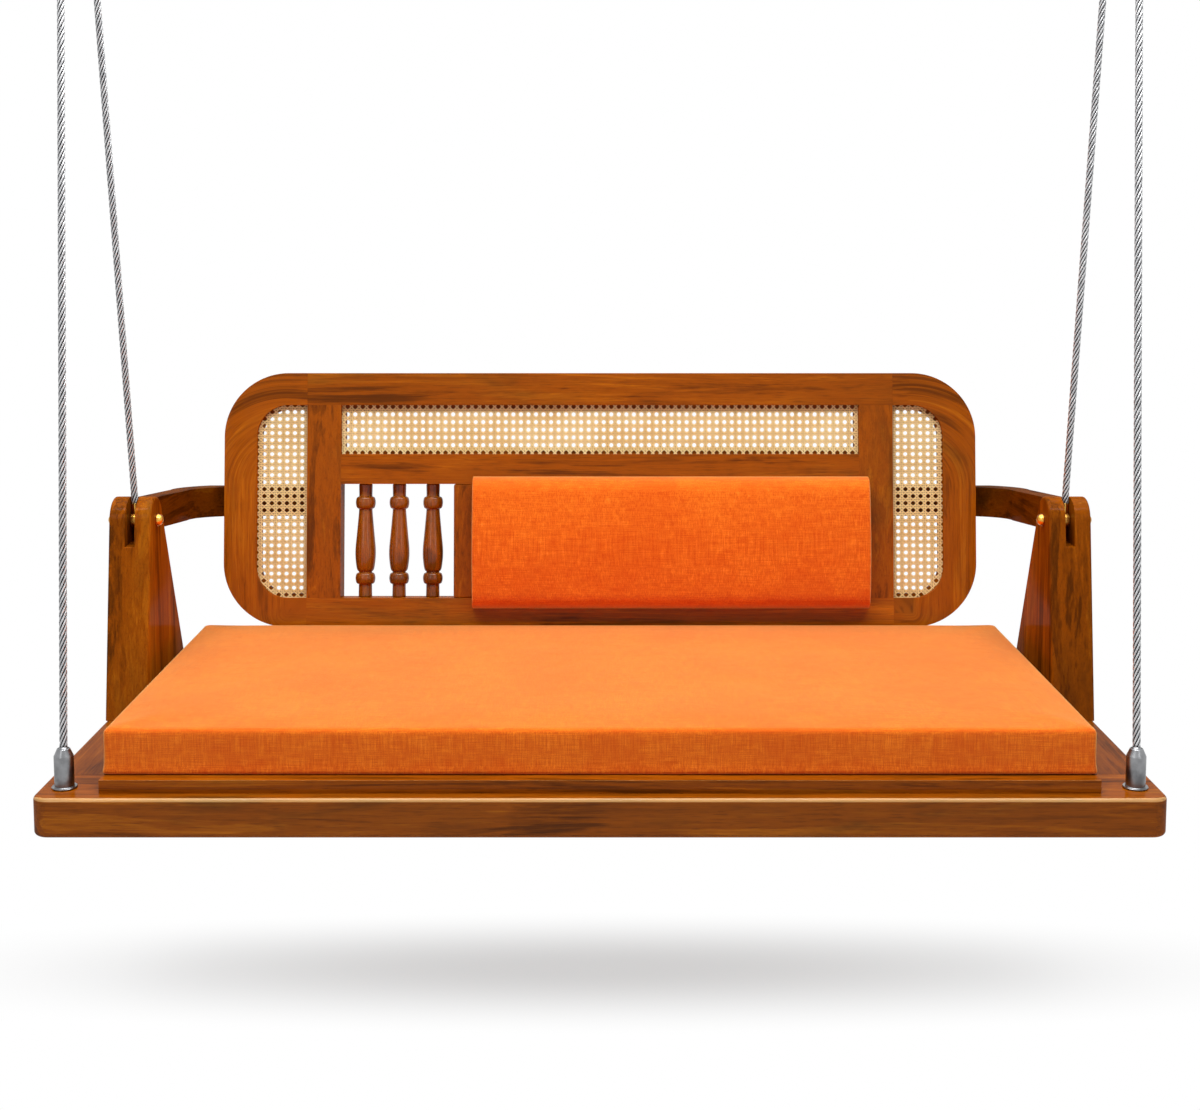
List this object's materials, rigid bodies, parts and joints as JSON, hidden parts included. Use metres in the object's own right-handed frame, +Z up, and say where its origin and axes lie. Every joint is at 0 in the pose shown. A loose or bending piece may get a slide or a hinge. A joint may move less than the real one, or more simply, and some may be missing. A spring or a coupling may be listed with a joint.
{
  "type": "hanging swing seat",
  "caption": "Wide wooden swing seat with a cane and spindle backrest, bent arm rails and orange cushions, hung from the ceiling on wire ropes.",
  "frame": {"origin": "on the ceiling plane, midway between the four ceiling brackets", "axes": "+X to the sitter's left as seen from the front (right in the picture), +Y to the back, +Z up"},
  "size_m": [1.594, 0.7617, 1.253],
  "materials": {
    "teak": "lacquered",
    "bearer_wood": "sawn",
    "dowel_wood": "plain",
    "plywood": "plain",
    "orange_fabric": "woven",
    "cane": "woven",
    "rope_steel": "stranded",
    "satin_steel": "satin",
    "bolt_steel": "zinc",
    "brass": "polished"
  },
  "bodies": {
    "ceiling": {"ceiling_bracket_front_left": "satin_steel", "ceiling_bracket_front_right": "satin_steel", "ceiling_bracket_rear_left": "satin_steel", "ceiling_bracket_rear_right": "satin_steel", "hanger_nuts": "satin_steel", "hanger_pins": "satin_steel"},
    "front_ropes": {"rope_front_left": "rope_steel", "rope_front_right": "rope_steel", "front_rope_balls": "rope_steel", "front_rope_eyes": "rope_steel"},
    "rear_ropes": {"rope_rear_left": "rope_steel", "rope_rear_right": "rope_steel", "rear_rope_eyes": "rope_steel", "rear_rope_thimbles": "brass"},
    "seat": {"arm_dowels": "dowel_wood", "arm_post_left": "teak", "arm_post_right": "teak", "arm_rail_left": "teak", "arm_rail_right": "teak", "arm_screws": "bolt_steel", "back_bottom_rail": "teak", "back_end_left": "teak", "back_end_right": "teak", "back_feet": "teak", "back_middle_rail": "teak", "back_pad": "orange_fabric", "back_pad_board": "plywood", "back_short_stile": "teak", "back_stile_left": "teak", "back_stile_right": "teak", "back_top_rail": "teak", "base_bearers": "bearer_wood", "base_front_rail": "teak", "base_left_rail": "teak", "base_rear_rail": "teak", "base_right_rail": "teak", "board_screws": "bolt_steel", "cane_beads": "teak", "cane_left": "cane", "cane_right": "cane", "cane_top": "cane", "foot_bolts": "bolt_steel", "frame_dowels": "dowel_wood", "hanger_bolts": "brass", "hanger_cap_nuts": "brass", "post_bolts": "bolt_steel", "seat_board": "teak", "seat_cushion": "orange_fabric", "spindle_left": "teak", "spindle_middle": "teak", "spindle_right": "teak", "terminal_flanges": "satin_steel", "terminal_left": "satin_steel", "terminal_nuts": "satin_steel", "terminal_right": "satin_steel", "terminal_washers": "satin_steel"}
  },
  "joints": [
    {"name": "swing", "type": "hinge", "parent": "ceiling", "child": "front_ropes", "pos_m": [0, -0.0769, -0.034], "axis": [1, 0, 0], "range_deg": [-15, 15]},
    {"name": "rear_rope_swing", "type": "hinge", "parent": "ceiling", "child": "rear_ropes", "pos_m": [0, 0.0769, -0.034], "axis": [1, 0, 0], "range_deg": [-17, 17]},
    {"name": "seat_tilt", "type": "hinge", "parent": "front_ropes", "child": "seat", "pos_m": [0, -0.3043, -1.149], "axis": [1, 0, 0], "range_deg": [-6.2, 6.2]}
  ],
  "couplings": [
    {"joint": "rear_rope_swing", "follows": "swing", "ratio": 1.1096},
    {"joint": "seat_tilt", "follows": "swing", "ratio": -0.39137}
  ]
}
